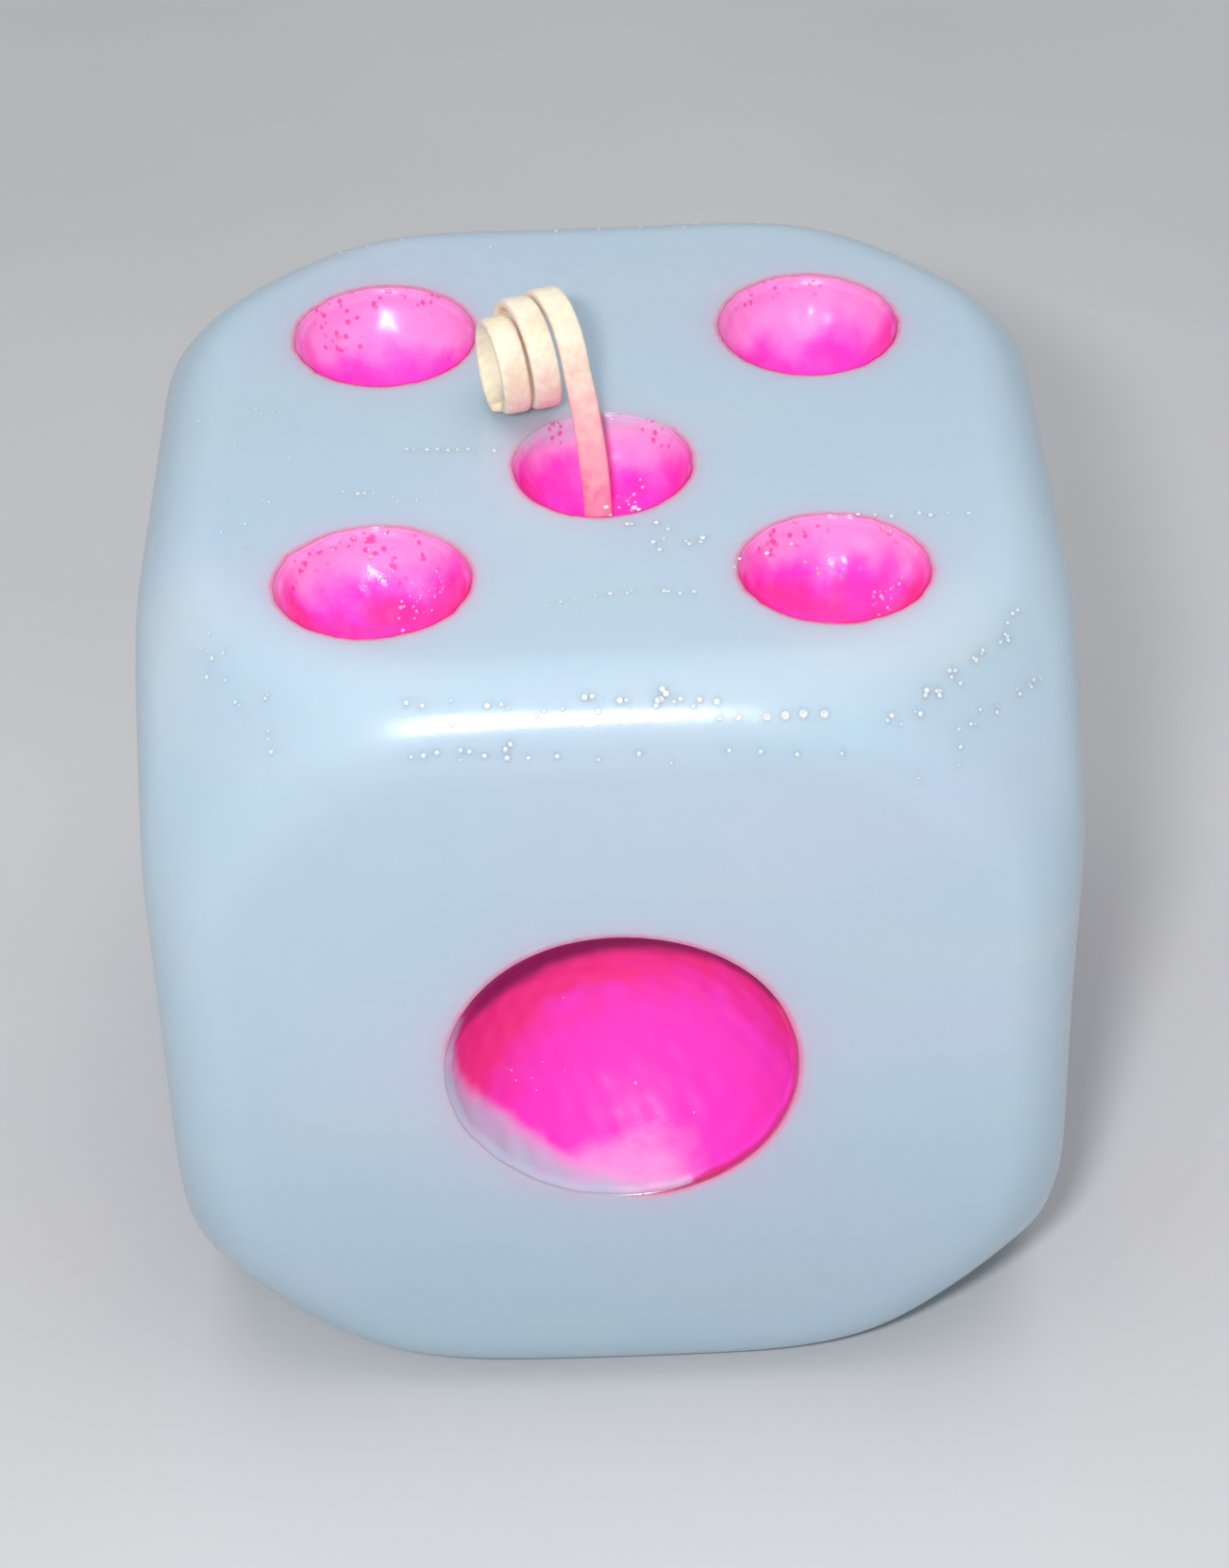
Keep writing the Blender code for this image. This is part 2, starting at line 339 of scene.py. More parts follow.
def drop_material(name, colours, colour_scale, rough_scale, rough, bump_scale, **more):
    """Small drops: two pale colours in soft patches, nearly smooth."""
    n = Nodes(name)
    n.set(
        Base_Color=n.mix(n.band(n.noise(colour_scale, 2.0), 0.4, 0.6), *colours),
        Roughness=n.band(n.noise(rough_scale, 2.0), 0.3, 0.7, *rough),
        IOR=1.44,
        **more,
        Normal=n.bump(n.noise(bump_scale, 2.0), 0.000004),
    )
    return n.material


FILM_PINK = (0.98, 0.040, 0.60)
FILM_SHADE_RED = (0.98, 0.028, 0.26)
FILM_SHEEN_PINK = (0.98, 0.31, 0.74)
FILM_RIM_SHADE = (0.60, 0.006, 0.12)
PIT_MAGENTA = (0.76, 0.050, 0.33)
SHADE_MAROON = (0.24, 0.002, 0.07)
BARE_WAX = (0.44, 0.54, 0.66)


def film_material():
    n = Nodes("pink_film")
    brushed = n.noise(240, 3.0, 0.55, stretch=(1.0, 1.5, 1.0), distortion=0.5)
    brushed = n.band(brushed, 0.3, 0.7, -0.12, 0.12)
    # painted shade and interreflection, partly deeper dye: the film drawn redder where its wall is
    # shaded
    shade_and_deep_dye = n.band(n.math("ADD", n.attribute("shade_and_deep_dye"), brushed), 0.1, 0.9)
    colour = n.mix(shade_and_deep_dye, FILM_PINK, FILM_SHADE_RED)
    # painted sheen: the film drawn paler where it faces the lights, and paler where the film is
    # missing
    pale = n.math("ADD", n.attribute("pale"), n.band(n.noise(520, 4.0, 0.62), 0.3, 0.7, -0.10, 0.10))
    colour = n.mix(n.band(pale, 0.05, 1.0), colour, FILM_SHEEN_PINK)
    worn = n.band(n.noise(620, 5.0, 0.65, stretch=(0.6, 1.0, 1.0)), 0.25, 0.75, -0.09, 0.09)
    cover = n.band(n.math("ADD", n.attribute("cover"), worn), 0.04, 0.96)
    bare = n.mix(n.band(n.noise(300, 3.0), 0.3, 0.7), BARE_WAX, (0.54, 0.50, 0.68))
    colour = n.mix(cover, bare, colour)
    placed = n.math("MULTIPLY", n.attribute("pitting"), n.band(n.noise(800, 2.0), 0.3, 0.6, 0.4, 1.0))
    pits = n.math("MULTIPLY", n.band(n.cells(1250), 0.40, 0.22), n.band(placed, 0.18, 0.30))
    large = n.math("MULTIPLY", n.band(n.cells(700), 0.36, 0.20), n.band(placed, 0.50, 0.62))
    pits = n.math("MAXIMUM", pits, large)
    colour = n.mix(n.math("MULTIPLY", pits, 0.75), colour, PIT_MAGENTA)
    # painted shade inside the near rim, partly dye pooled at the film's edge
    colour = n.mix(n.attribute("rim_shade_and_dye"), colour, FILM_RIM_SHADE)
    colour = n.mix(n.math("MULTIPLY", n.attribute("shade"), 0.95), colour, SHADE_MAROON)
    speckle = n.band(n.noise(4200, 2.0, 0.7), 0.55, 0.75, 0.0, 0.10)
    colour = n.mix(speckle, colour, (0.60, 0.01, 0.30))
    rough = n.attribute("matt")
    bump = n.bump(n.noise(380, 2.0), 0.000010)
    bump = n.bump(n.noise(3600, 3.0, 0.6), 0.000006, bump)
    bump = n.bump(n.math("SUBTRACT", 1.0, pits), 0.00002, bump)
    bump = n.bump(n.math("MULTIPLY", n.attribute("flaky"), n.noise(1300, 3.0, 0.6)), 0.00016, bump)
    n.set(
        Base_Color=colour,
        Roughness=n.math("ADD", n.band(n.noise(800, 3.0), 0.3, 0.7, 0.14, 0.24), rough),
        IOR=1.46,
        Specular_IOR_Level=0.5,
        Normal=bump,
    )
    return n.material


def wick_material():
    n = Nodes("waxed_braid")
    climb = n.math("ADD", n.attribute("climb"), n.band(n.noise(900, 4.0), 0.3, 0.7, -0.12, 0.12))
    cream = n.mix(n.band(n.noise(420, 4.0, 0.6), 0.44, 0.70), (0.95, 0.87, 0.68), (0.88, 0.70, 0.53))
    cream = n.mix(n.band(n.noise(260, 3.0), 0.54, 0.72, 0, 0.7), cream, (0.95, 0.76, 0.69))
    colour = n.mix(n.band(climb, 0.45, 1.25), (0.98, 0.40, 0.47), cream)
    colour = n.mix(n.band(climb, 0.10, 0.50, 0.85, 0.0), colour, (0.98, 0.20, 0.38))
    streak = n.band(n.noise(900, 4.0, 0.6, stretch=(1.0, 1.0, 0.35)), 0.55, 0.72)
    streak = n.math("MULTIPLY", streak, n.band(climb, 0.35, 0.60, 0.6, 0.0))
    colour = n.mix(streak, colour, (0.85, 0.06, 0.16))
    # painted shade: darker in the grooves between the threads and along the middle groove
    colour = n.mix(n.band(n.attribute("thread"), 0.10, 0.50, 0.14, 0.0), colour, (0.74, 0.56, 0.42))
    n.set(
        Base_Color=colour,
        Roughness=n.band(n.noise(1500, 3.0), 0.3, 0.7, 0.42, 0.60),
        IOR=1.44,
        Subsurface_Weight=0.4,
        Subsurface_Radius=(1.0, 0.7, 0.5),
        Subsurface_Scale=0.0006,
        Normal=n.bump(n.noise(1900, 4.0, 0.55), 0.00003),
    )
    return n.material


def floor_material():
    n = Nodes("pale_floor")
    n.set(
        Base_Color=n.mix(n.band(n.noise(9, 4.0), 0.3, 0.7), (0.60, 0.60, 0.61), (0.64, 0.64, 0.65)),
        Roughness=n.band(n.noise(30, 3.0), 0.3, 0.7, 0.55, 0.7),
        Normal=n.bump(n.noise(700, 3.0), 0.00004),
    )
    return n.material


WAX = wax_material()
BEAD = drop_material(
    "wax_droplets", ((0.84, 0.91, 0.96), (0.93, 0.96, 0.98)), 700, 900, (0.22, 0.34), 4000,
    Subsurface_Weight=0.5, Subsurface_Radius=(1.0, 1.0, 1.0), Subsurface_Scale=0.0008)
FILM = film_material()
BUBBLE = drop_material(
    "pink_bubbles", ((0.98, 0.24, 0.54), (0.98, 0.40, 0.66)), 1500, 1800, (0.12, 0.25), 5000)
WICK = wick_material()


# ---- wick

STEM_START = Vector((-0.0003, -0.0052, 0.0677))
STEM_LEAVES = Vector((0.0005, 0.0020, 0.0120))      # the way the stem sets out, and how hard
STEM_ARRIVES = Vector((-0.0025, 0.0025, 0.0120))
COIL_YAW = math.radians(16)
COIL_MIDDLE = Vector((-0.00296, 0.00403, 0.0))      # the coil's axis passes here, level
COIL_LOW = 0.0762                                   # the lowest centre line of its turns
COIL_PITCH = 0.0025
COIL_TURNS = 2.8
COIL_STOP = 1.98                                    # turns after which it winds inwards only
COIL_EASE = 0.12
COIL_RADII = ((0.0, 0.00455), (1.0, 0.0044), (1.75, 0.00415), (2.0, 0.00395),
              (2.25, 0.0037), (2.8, 0.00285))
COIL_AXIS = np.array((-math.cos(COIL_YAW), -math.sin(COIL_YAW), 0.0))
COIL_FRONT = np.array((math.sin(COIL_YAW), -math.cos(COIL_YAW), 0.0))
COIL_SMOOTHING = 31             # route points that each radius is averaged over, an odd number
COIL_POINTS = 2400
STEM_POINTS = 500
RING_STEP = 0.00016
BRAID_POINTS = 40               # round the braid's section
BRAID_SQUARENESS = 3.4          # 2 is an ellipse, more is nearer a rectangle
THREAD_PITCH = 0.00125
THREAD_SLANT = 0.9
THREAD_PROUD = 0.000016
SPINE_WIDTH = 0.10              # the groove between the two rows of threads, of the half width
END_RINGS = (0.35, 0.7, 0.93)   # rings of the low dome on each end, as shares of its reach
END_REACH = 0.00035
PATH_START = 0.0005             # along the stem, where it leaves the pip's floor
INNER_WICK_SHORT = 0.0006       # the embedded stretch stops this far under the core's top
INNER_WICK_STEP = 0.0004


def coil_route(count):
    turns = np.linspace(0, COIL_TURNS, count)
    radii = np.interp(turns, *zip(*COIL_RADII))
    kernel = np.hanning(COIL_SMOOTHING)
    padded = np.pad(radii, COIL_SMOOTHING // 2, mode="edge")
    radii = np.convolve(padded, kernel / kernel.sum(), mode="valid")
    late = np.maximum(turns - COIL_STOP, 0)
    along = np.minimum(turns, COIL_STOP) + COIL_EASE * (1 - np.exp(-late / COIL_EASE))
    middles = np.array(COIL_MIDDLE) + np.outer(along * COIL_PITCH, COIL_AXIS)
    middles[:, 2] = COIL_LOW + radii
    angle = TAU * turns
    outward = np.outer(np.cos(angle), COIL_FRONT) + np.outer(np.sin(angle), (0, 0, 1))
    return middles + radii[:, None] * outward


def stem_route(end, count):
    t = np.linspace(0, 1, count, endpoint=False)[:, None]
    start = np.array(STEM_START)
    return (
        (2 * t ** 3 - 3 * t ** 2 + 1) * start
        + (t ** 3 - 2 * t ** 2 + t) * np.array(STEM_LEAVES)
        + (3 * t ** 2 - 2 * t ** 3) * end
        + (t ** 3 - t ** 2) * np.array(STEM_ARRIVES))


def even_route(points, step):
    lengths = np.concatenate([[0], np.cumsum(np.linalg.norm(np.diff(points, axis=0), axis=1))])
    count = int(lengths[-1] / step)
    wanted = np.linspace(0, lengths[-1], count + 1)
    placed = [np.interp(wanted, lengths, points[:, axis]) for axis in range(3)]
    return np.stack(placed, axis=1), wanted


def braid_tube(route, lengths, yaw, seed):
    """A flat plaited ribbon along the route: its points, and how proud each thread stands."""
    tangents = np.gradient(route, axis=0)
    tangents /= np.linalg.norm(tangents, axis=1)[:, None]
    across = np.stack([-np.cos(yaw), -np.sin(yaw), np.zeros_like(yaw)], axis=1)
    across -= tangents * np.sum(across * tangents, axis=1)[:, None]
    across /= np.linalg.norm(across, axis=1)[:, None]
    outward = np.cross(tangents, across)
    turn = full_turn(BRAID_POINTS)
    corner = 2 / BRAID_SQUARENESS
    flat_x = np.sign(np.cos(turn)) * np.abs(np.cos(turn)) ** corner
    flat_y = np.sign(np.sin(turn)) * np.abs(np.sin(turn)) ** corner
    wide = WICK_WIDTH / 2 * (1 + ripple(lengths / 0.011, seed, (1, 2, 3, 5), 0.035))
    thick = WICK_THICKNESS / 2 * (1 + ripple(lengths / 0.008, seed + 1, (1, 2, 3, 5), 0.07))
    place = lengths[:, None]
    slant = np.abs(flat_x)[None, :] * WICK_WIDTH / 2
    side = np.where(flat_y >= 0, 0.0, 0.5)[None, :]
    thread = 0.5 + 0.5 * np.cos(TAU * ((place - THREAD_SLANT * slant) / THREAD_PITCH + side))
    spine = np.exp(-(flat_x / SPINE_WIDTH) ** 2)[None, :]
    thread = thread * (1 - 0.8 * spine)
    soft = 0.55 + 0.45 * np.sin(place / 0.0031 + 2 * np.sin(place / 0.0074))
    proud = THREAD_PROUD * soft * (thread - 0.5)
    grow = 1 + proud / (WICK_THICKNESS / 2)
    points = (
        route[:, None, :]
        + across[:, None, :] * (wide[:, None] * flat_x * (1 + proud / WICK_WIDTH))[:, :, None]
        + outward[:, None, :] * (thick[:, None] * flat_y * grow)[:, :, None])
    return points, thread


def rounded_ends(points, route, reach):
    """Extra rings that close each end with a low dome; returns all rings."""
    domes = []
    for end, inner in ((0, 1), (-1, -2)):
        way = route[end] - route[inner]
        way /= np.linalg.norm(way)
        rings = []
        for share in END_RINGS:
            shrink = math.sqrt(1 - share ** 2)
            rings.append(route[end] + (points[end] - route[end]) * shrink + way * reach * share)
        domes.append(rings)
    return np.concatenate([domes[0][::-1], points, domes[1]])


def add_wick():
    coil = coil_route(COIL_POINTS)
    stem = stem_route(coil[0], STEM_POINTS)
    route, lengths = even_route(np.concatenate([stem, coil]), RING_STEP)
    stem_length = np.linalg.norm(np.diff(stem, axis=0), axis=1).sum()
    yaw = COIL_YAW * smoothstep(0.2 * stem_length, 1.2 * stem_length, lengths)
    points, thread = braid_tube(route, lengths, yaw, 7)
    rings = rounded_ends(points, route, END_REACH)
    extra = len(END_RINGS)
    ring_lengths = np.pad(lengths, extra, mode="edge")
    climb = np.repeat(ring_lengths / stem_length, BRAID_POINTS)
    proud = np.pad(thread, ((extra, extra), (0, 0)), mode="edge")
    faces = closed_tube(len(rings), BRAID_POINTS)
    wick = make_piece(
        "wick_braid", rings.reshape(-1, 3), faces, WICK, ("wick_stem", "wick_coil"),
        {"climb": climb, "thread": proud.reshape(-1)})
    above = route[lengths >= PATH_START]
    [tuple(p) for p in above[::3]]


add_wick()


def add_inner_wick():
    """The embedded stretch, whose cut end shows in the base."""
    low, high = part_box("wick_core")
    lengths = np.arange(low.z, high.z - INNER_WICK_SHORT, INNER_WICK_STEP)
    straight = np.zeros_like(lengths)
    route = np.stack([straight + WICK_EXIT.x, straight + WICK_EXIT.y, lengths], axis=1)
    points, thread = braid_tube(route, lengths, straight, 9)
    faces = closed_tube(len(points), BRAID_POINTS)
    make_piece(
        "wick_inner", points.reshape(-1, 3), faces, WICK, ("wick_core",),
        {"climb": np.full(points.shape[0] * BRAID_POINTS, 1.0), "thread": thread.reshape(-1)})


add_inner_wick()


# ---- pip shapes

RIM_STEPS = 9                   # points of a profile over the rounded rim
WALL_STEPS = 60                 # and down the wall


class PipShape:
    """The wall of a hollow in the wax, from the rounded rim down to its pole.

    A point is given by its arc length from where the rim's rounding starts on the flat face.
    """

    def __init__(self, radius, depth, rim, around, rings):
        ball = (radius ** 2 + depth ** 2) / (2 * depth)
        rise = ball - depth
        reach = math.sqrt((ball + rim) ** 2 - (rise + rim) ** 2)
        self.rim, self.around, self.rings, self.reach = rim, around, rings, reach
        meets = math.atan2(rise + rim, reach)
        points = []
        for turn in np.linspace(math.pi / 2, math.pi - meets, RIM_STEPS)[:-1]:
            points.append((reach + rim * math.cos(turn), -rim + rim * math.sin(turn)))
        start = math.atan2(reach, rise + rim)
        for turn in np.linspace(start, 0, WALL_STEPS):
            points.append((ball * math.sin(turn), rise - ball * math.cos(turn)))
        points = np.array(points)
        points[0] = (reach, 0.0)
        steps = np.linalg.norm(np.diff(points, axis=0), axis=1)
        self.lengths = np.concatenate([[0], np.cumsum(steps)])
        self.points = points
        way = np.gradient(points, self.lengths, axis=0)
        way /= np.linalg.norm(way, axis=1)[:, None]
        self.normals = np.stack([way[:, 1], -way[:, 0]], axis=1)
        self.normals[-1] = (0, 1)
        self.whole = self.lengths[-1]

    def at(self, lengths, lift=0.0):
        """Radius and height at these arc lengths, lifted off the wax by lift."""
        values = []
        for axis in range(2):
            place = np.interp(lengths, self.lengths, self.points[:, axis])
            normal = np.interp(lengths, self.lengths, self.normals[:, axis])
            values.append(place + lift * normal)
        return values

    def strayed(self, radius, stray):
        """The radius once the outline strays from round, less towards the pole."""
        return radius * (1 + stray * radius / self.reach)


SMALL = PipShape(PIP_RADIUS, PIP_DEPTH, 0.00024, 112, 34)
BIG = PipShape(BIG_PIP_RADIUS - 0.0001, BIG_PIP_DEPTH, 0.00040, 176, 60)
DIMPLE = PipShape(0.0016, 0.0010, 0.0003, 28, 10)     # round the wick's cut end, in the base


Hollow = namedtuple("Hollow", "number shape middle seed stretch")

# The hollows differ a little: moved across and along, and their width and length as shares.
HOLLOW_TRIM = {
    ("front", 1): (0.00030, 0.0, 1.0, 1.0),
    ("top", 1): (0.0, 0.0001, 1.015, 1.085),
    ("top", 2): (0.0, 0.0, 1.0, 0.965),
    ("top", 3): (0.0, 0.0, 1.025, 0.985),
    ("top", 4): (0.0001, -0.0002, 1.015, 1.06),
    ("top", 5): (0.0002, 0.0, 0.965, 1.02),
}


def hollows(face):
    """The hollows on a face, with their middles in the face's plane."""
    count = FACES[face][0]
    for number, (across, along) in enumerate(PATTERNS[count], start=1):
        shift = 0.0
        if face == "top":
            shift = TOP_MIDDLE_SHIFT if (across, along) == (0, 0) else TOP_GROUP_SHIFT
        seed = 100 * (1 + list(FACES).index(face)) + number
        draw = np.random.default_rng(seed)
        usual = (*draw.uniform(-0.0002, 0.0002, 2), *draw.uniform(0.975, 1.03, 2))
        trim = HOLLOW_TRIM.get((face, number), usual)
        middle = np.array((across * PIP_OFFSET + trim[0], along * PIP_OFFSET - shift + trim[1]))
        yield Hollow(number, BIG if count == 1 else SMALL, middle, seed, trim[2:])


def outline(hollow, angle):
    """How far the rim strays from round, as a share of the radius."""
    wide, long = hollow.stretch
    wobble = 1 / np.sqrt((np.cos(angle) / wide) ** 2 + (np.sin(angle) / long) ** 2) - 1
    wobble += ripple(angle, hollow.seed, (2, 3, 5), 0.0035)
    if hollow.shape is SMALL:
        wobble += ripple(angle, hollow.seed + 50, (9, 13, 17, 23), 0.0052)
        notches = np.random.default_rng(hollow.seed + 60)
        for _ in range(12):
            away = np.angle(np.exp(1j * (angle - notches.uniform(0, TAU))))
            size = notches.uniform(-0.018, 0.018)
            wobble += size * np.exp(-(away / notches.uniform(0.03, 0.07)) ** 2)
    return wobble


def to_row_frame(face, flat):
    """Points (across, along, height above the face) into the row frame."""
    _, across, along, outward = FACES[face]
    axes = np.array((across, along, outward), dtype=float)
    return CENTRE + flat @ axes + HALF * axes[2]


# ---- wax block

GRID = 88                       # cells along each edge of a face
CROWDING = 1.22                 # draws the cells together near the edges
BALL_BLEND = 0.0026             # softens where the trimming ball meets the sides
COLLAR = 0.00030                # a narrow band of the flat face round each hollow
NEAR_CELLS = 1.3                # cells this near a hollow are stitched to it by triangles
CLEAR_CELLS = 0.35              # grid points this near its collar are dropped
BISECTIONS = 34
MERGE_DISTANCE = 1e-7
PAINTED_SHADE_BELOW = 0.045            # painted shade: the wax is drawn darker from this height down


def depth_outside(points):
    """Signed distance from the block's surface, less than 0 inside."""
    past = np.maximum(np.abs(points) - (HALF - EDGE_FILLET), 0)
    box_side = np.linalg.norm(past, axis=1) - EDGE_FILLET
    ball_side = np.linalg.norm(points, axis=1) - CORNER_BALL
    share = np.maximum(BALL_BLEND - np.abs(box_side - ball_side), 0)
    return np.maximum(box_side, ball_side) + share ** 2 / (4 * BALL_BLEND)


def die_surface(directions):
    """Where each ray from the block's middle leaves the block."""
    low = np.full(len(directions), 0.5 * HALF)
    high = np.full(len(directions), SIDE)
    for _ in range(BISECTIONS):
        reach = (low + high) / 2
        outside = depth_outside(directions * reach[:, None]) > 0
        high = np.where(outside, reach, high)
        low = np.where(outside, low, reach)
    return directions * ((low + high) / 2)[:, None]


def face_grid():
    steps = np.linspace(-1, 1, GRID + 1)
    return np.sign(steps) * (1 - (1 - np.abs(steps)) ** CROWDING) * HALF


def face_sheet(face):
    """One side of the block with its hollows: points in the face's frame, and faces."""
    ticks = face_grid()
    grid = np.array([(x, y) for x in ticks for y in ticks])
    cell = 2 * HALF / GRID
    holes = list(hollows(face))
    if face == "bottom":
        holes.append(Hollow(0, DIMPLE, np.array((WICK_EXIT.x, -WICK_EXIT.y)), 999, (1.0, 1.0)))
    marked = np.zeros((GRID, GRID), dtype=bool)
    dropped = np.zeros(len(grid), dtype=bool)
    for hole in holes:
        away = grid - hole.middle
        angle = np.arctan2(away[:, 1], away[:, 0])
        past = np.linalg.norm(away, axis=1) - hole.shape.reach * (1 + outline(hole, angle))
        near = (past < NEAR_CELLS * cell).reshape(GRID + 1, GRID + 1)
        marked |= near[:-1, :-1] | near[1:, :-1] | near[:-1, 1:] | near[1:, 1:]
        dropped |= past < COLLAR + CLEAR_CELLS * cell
    points = [tuple(place) + (0.0,) for place in grid]
    faces = []
    for i, j in zip(*np.nonzero(~marked)):
        first = int(i) * (GRID + 1) + int(j)
        faces.append((first, first + GRID + 1, first + GRID + 2, first + 1))
    wanted, borders = set(), []
    for i, j in zip(*np.nonzero(marked)):
        i, j = int(i), int(j)
        first = i * (GRID + 1) + j
        wanted.update((first, first + 1, first + GRID + 1, first + GRID + 2))
        for di, dj, start, end in ((-1, 0, 0, 1), (1, 0, GRID + 1, GRID + 2),
                                   (0, -1, 0, GRID + 1), (0, 1, 1, GRID + 2)):
            a, b = i + di, j + dj
            if not (0 <= a < GRID and 0 <= b < GRID and marked[a, b]):
                borders.append((first + start, first + end))
    names = [index for index in sorted(wanted) if not dropped[index]]
    local = {index: place for place, index in enumerate(names)}
    flat = [Vector(grid[index]) for index in names]
    edges = [(local[start], local[end]) for start, end in borders]
    for hole in holes:
        angle = full_turn(hole.shape.around)
        reach = hole.shape.reach * (1 + outline(hole, angle)) + COLLAR
        ring = hole.middle + np.stack([np.cos(angle), np.sin(angle)], axis=1) * reach[:, None]
        start, first = len(flat), len(points)
        for step, place in enumerate(ring):
            flat.append(Vector(place))
            names.append(first + step)
            points.append((place[0], place[1], 0.0))
            edges.append((start + step, start + (step + 1) % hole.shape.around))
        faces.extend(hollow_faces(hole, first, points))
    found = delaunay_2d_cdt(flat, edges, [], 0, 1e-9)
    places, triangles, origin = found[0], found[2], found[3]
    for triangle in triangles:
        centre = sum((places[v] for v in triangle), Vector((0, 0))) / 3
        i = int(np.searchsorted(ticks, centre.x)) - 1
        j = int(np.searchsorted(ticks, centre.y)) - 1
        if not (0 <= i < GRID and 0 <= j < GRID and marked[i, j]):
            continue
        if any(inside_outline(hole, centre) for hole in holes):
            continue
        faces.append(tuple(names[origin[v][0]] for v in triangle))
    return np.array(points), faces, len(grid)


def inside_outline(hole, place):
    away = np.array(place) - hole.middle
    angle = np.array([math.atan2(away[1], away[0])])
    reach = hole.shape.reach * (1 + outline(hole, angle))[0] + COLLAR
    return np.linalg.norm(away) < reach * 0.9995


def hollow_faces(hole, first, points):
    """Adds a hollow's inner rings under the outline ring that starts at first."""
    shape, around = hole.shape, hole.shape.around
    angle = full_turn(around)
    stray = outline(hole, angle)
    lengths = np.concatenate([
        np.linspace(0, shape.rim * 1.5, 7),
        np.linspace(shape.rim * 1.5, shape.whole, shape.rings // 2)[1:-1]])
    before = list(range(first, first + around))
    faces = []
    for length in lengths:
        radius, height = shape.at(length)
        reach = shape.strayed(radius, stray)
        ring = list(range(len(points), len(points) + around))
        points.extend(zip(
            hole.middle[0] + reach * np.cos(angle), hole.middle[1] + reach * np.sin(angle),
            np.full(around, float(height))))
        for step in range(around):
            after = (step + 1) % around
            faces.append((before[step], before[after], ring[after], ring[step]))
        before = ring
    pole = len(points)
    points.append((hole.middle[0], hole.middle[1], float(shape.at(shape.whole)[1])))
    for step in range(around):
        faces.append((before[step], before[(step + 1) % around], pole))
    return faces


def rim_glow_and_shade(face, points):
    """How strongly painted light and dye show round each hollow: a painted pink glow through the wax,
    partly dye; a thin painted highlight and glow at each rim; a dark line of painted shade inside the
    near rim, partly pooled dye.
    """
    glow_and_dye_halo = np.zeros(len(points))
    rim = np.zeros(len(points))
    deep = np.zeros(len(points))
    for hole in hollows(face):
        away = points[:, :2] - hole.middle
        angle = np.arctan2(away[:, 1], away[:, 0])
        past = np.linalg.norm(away, axis=1) - hole.shape.reach * (1 + outline(hole, angle))
        uneven = 1 + ripple(angle, hole.seed + 5, (1, 2, 4, 7), 0.30)
        inside = past < -1.6 * hole.shape.rim
        covered = smoothstep(0.0010, 0.0002, bare_edge(face, hole, angle))
        # painted highlight and glow: the thin light pink line at the edge of each rim
        line = smoothstep(1.15 * COLLAR, 0.4 * COLLAR, past) * (0.7 + 0.3 * uneven)
        # painted glow round each hollow, partly dye, fading with distance from the rim
        wide = 0.0017 if hole.shape is SMALL else 0.0030
        spread = np.exp(-np.maximum(past, 0) / (wide * np.maximum(uneven, 0.3)))
        glow_and_dye_halo = np.maximum(glow_and_dye_halo, np.where(inside, 0.20, 0.48 * spread))
        rim = np.maximum(rim, np.where(inside, covered, line * (0.08 + 0.92 * covered)))
        # painted shade inside the near rim, strongest on the near side, partly pooled dye
        near = (0.15 + 0.85 * far_bump(angle, 278, 80)) * (0.8 + 0.2 * uneven)
        dark = smoothstep(-0.20 * hole.shape.rim, -0.50 * hole.shape.rim, past)
        deep = np.maximum(deep, dark * near * covered * (past > -2 * hole.shape.rim))
    return {"glow_and_dye_halo": glow_and_dye_halo, "rim": rim, "deep": deep}


def bare_edge(face, hole, angle):
    """How far down from the rim the film is missing, by direction."""
    wave = ripple(angle, hole.seed + 11, (2, 3, 5, 8), 1.0)
    if face == "front":
        return (0.0031 + 0.0002 * wave) * far_bump(angle, 224, 42)
    if face == "top" and hole.number == 5:
        behind = (0.0012 + 0.0002 * wave) * far_bump(angle, 72, 30)
        return 0.0022 * far_bump(angle, 118, 34) + behind
    return np.zeros_like(angle)


def add_wax_block():
    all_points, all_faces = [], []
    columns = {"glow_and_dye_halo": [], "rim": [], "deep": []}
    for face in FACES:
        points, faces, gridded = face_sheet(face)
        _, across, along, outward = FACES[face]
        axes = np.array((across, along, outward), dtype=float)
        sheet = points[:gridded, :2]
        directions = np.concatenate([sheet, np.full((gridded, 1), HALF)], axis=1) @ axes
        directions /= np.linalg.norm(directions, axis=1)[:, None]
        placed = np.concatenate([
            die_surface(directions) + CENTRE,
            to_row_frame(face, points[gridded:])])
        used = np.zeros(len(points), dtype=bool)
        used[[v for corners in faces for v in corners]] = True
        renumber = np.cumsum(used) - 1 + len(all_points)
        all_points.extend(placed[used].tolist())
        for label, values in rim_glow_and_shade(face, points).items():
            columns[label].extend(values[used].tolist())
        all_faces.extend(tuple(int(renumber[v]) for v in corners) for corners in faces)
    points = np.array(all_points)
    keys = np.round(points / MERGE_DISTANCE).astype(np.int64)
    _, first, back = np.unique(keys, axis=0, return_index=True, return_inverse=True)
    back = back.reshape(-1)
    faces = [tuple(int(back[v]) for v in corners) for corners in all_faces]
    floats = {label: np.array(values)[first] for label, values in columns.items()}
    # painted shade: the share of darker wax, growing towards the bottom
    floats["low"] = smoothstep(PAINTED_SHADE_BELOW, 0.0, points[first][:, 2])
    make_piece(
        "wax_block", cast_warp(points[first]), faces, WAX, ("wax_body",), floats)


# ---- pink films

FILM_LIFT = 0.00004             # from the wax to the film's back
FILM_THICKNESS = 0.00026
FILM_BACK_RINGS = 18
FILM_QUALITIES = ("pale", "shade_and_deep_dye", "pitting", "flaky", "matt", "shade")
